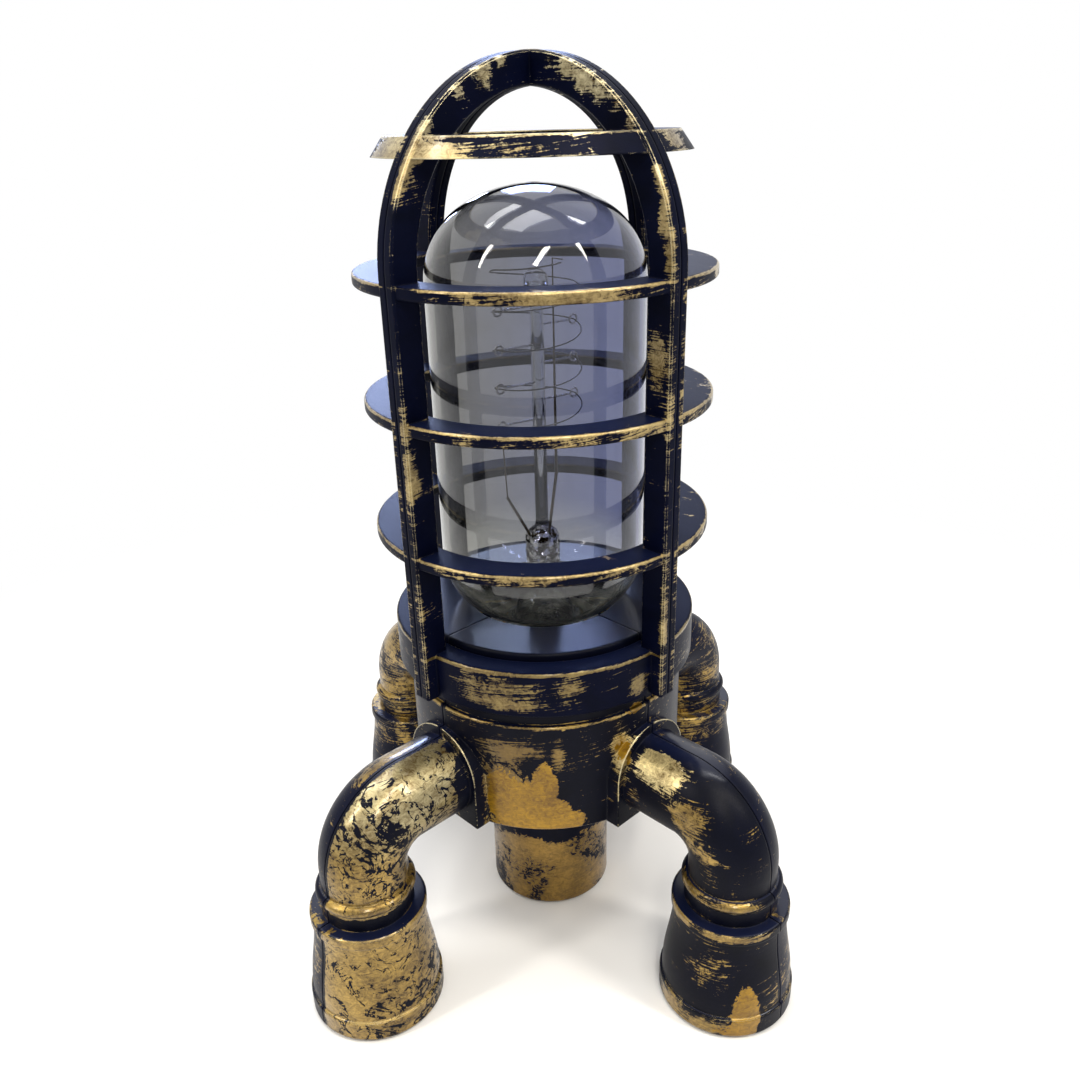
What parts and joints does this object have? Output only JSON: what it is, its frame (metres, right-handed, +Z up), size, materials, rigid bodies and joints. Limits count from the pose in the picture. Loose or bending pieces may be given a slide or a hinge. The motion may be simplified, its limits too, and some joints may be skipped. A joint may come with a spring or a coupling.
{
  "type": "rocket table lamp",
  "caption": "Rocket-shaped table lamp: a domed bar cage over a tubular clear bulb, standing on a drum with elbow-pipe legs and a central nozzle tube.",
  "frame": {"origin": "on the table, under the lamp's vertical axis", "axes": "+Z up along the bulb; -Y to the front, midway between the two front legs; +X to the right"},
  "size_m": [0.1538, 0.1538, 0.2735],
  "materials": {
    "painted_abs": "navy-black moulded plastic, dry-brushed with gold paint",
    "gilt_abs": "moulded plastic, gold paint mottled with black",
    "rubber": "matt black",
    "steel": "zinc plated",
    "brass": "pressed",
    "porcelain": "glazed",
    "clear_glass": "clear, blown",
    "nickel": "nickel-plated brass",
    "black_glass": "fused black glass",
    "solder": "dull solder",
    "wire": "drawn wire"
  },
  "bodies": {
    "base": {"base_front": "painted_abs", "base_right": "painted_abs", "base_rear": "painted_abs", "base_left": "painted_abs", "base_dowels": "steel", "foot_pads": "rubber", "nozzle": "gilt_abs", "nozzle_screws": "steel", "cord_grommet": "rubber", "holder_body": "porcelain", "holder_sleeve": "brass", "holder_contact": "brass", "holder_screws": "steel", "terminals": "brass", "terminal_screws": "steel"},
    "cage": {"cage_front": "painted_abs", "cage_right": "painted_abs", "cage_rear": "painted_abs", "cage_left": "painted_abs", "cage_dowels": "steel"},
    "bulb_contact": {"bulb_tip": "solder"},
    "bulb": {"bulb_glass": "clear_glass", "bulb_cap": "nickel", "bulb_insulator": "black_glass", "bulb_stem": "clear_glass", "bulb_hooks": "wire", "bulb_leads": "wire", "bulb_filament": "wire"}
  },
  "joints": [
    {"name": "cage_lift", "type": "slide", "parent": "base", "child": "cage", "axis": [0, 0, 1], "range_m": [0, 0.15]},
    {"name": "bulb_rise", "type": "slide", "parent": "base", "child": "bulb_contact", "axis": [0, 0, 1], "range_m": [0, 0.0109]},
    {"name": "bulb_turn", "type": "hinge", "parent": "bulb_contact", "child": "bulb", "pos_m": [0, 0, 0.1], "axis": [0, 0, 1], "range_deg": [0, 1080]}
  ],
  "couplings": [
    {"joint": "bulb_rise", "follows": "bulb_turn", "m_per_rad": 0.00057757}
  ]
}
